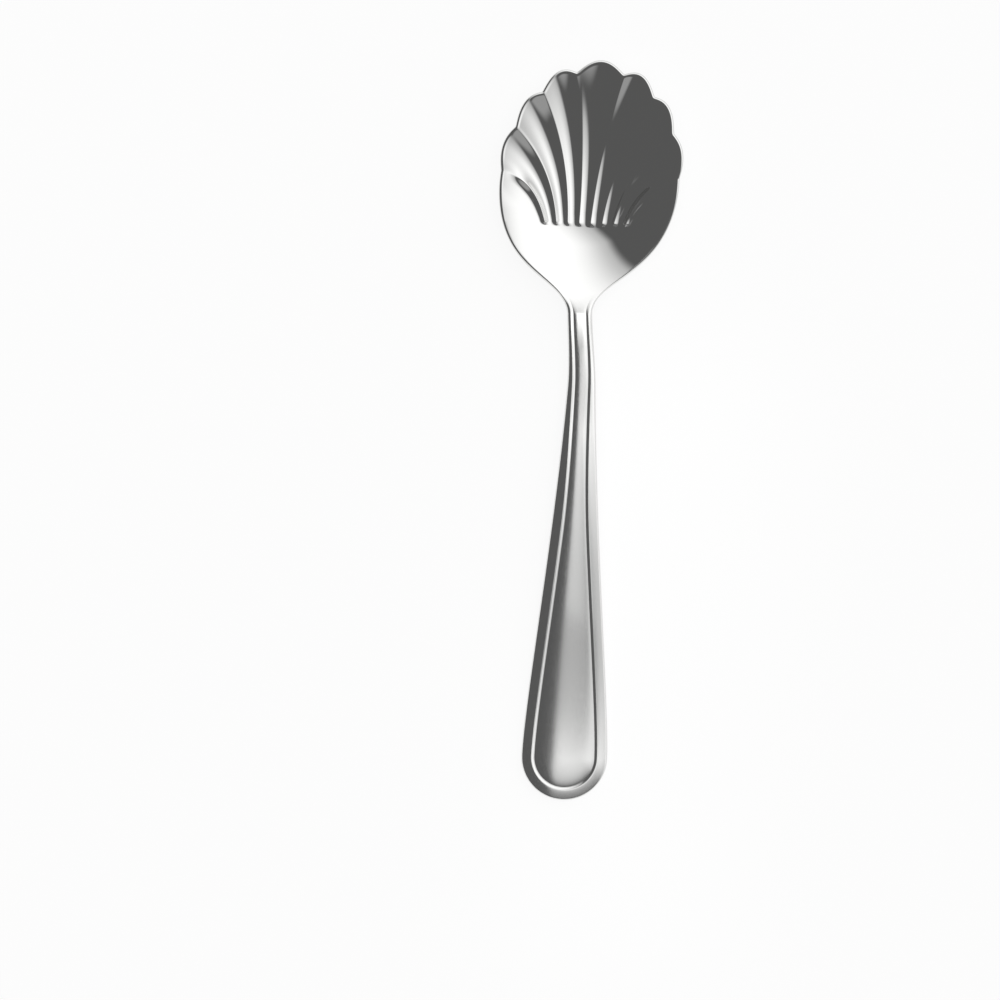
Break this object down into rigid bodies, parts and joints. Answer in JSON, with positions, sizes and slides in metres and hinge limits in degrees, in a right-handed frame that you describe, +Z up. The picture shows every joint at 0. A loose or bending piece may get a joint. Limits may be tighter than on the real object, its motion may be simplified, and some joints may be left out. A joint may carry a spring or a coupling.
{
  "type": "dessert spoon",
  "caption": "Stainless dessert spoon with a fluted scallop-shell bowl, a slim arched neck and a satin handle whose crowned panel has a raised border.",
  "frame": {"origin": "on the table under the middle of the spoon's length and width, with the spoon lying bowl upwards", "axes": "+Y along the spoon towards the tip of the bowl, +Z up out of the bowl, +X to the right"},
  "size_m": [0.042, 0.1698, 0.0106],
  "materials": {
    "mirror_steel": "mirror-polished stainless steel",
    "satin_steel": "satin stainless steel with a fine lengthwise grain"
  },
  "bodies": {
    "root": {"bowl": "mirror_steel", "handle": "satin_steel"}
  },
  "joints": []
}
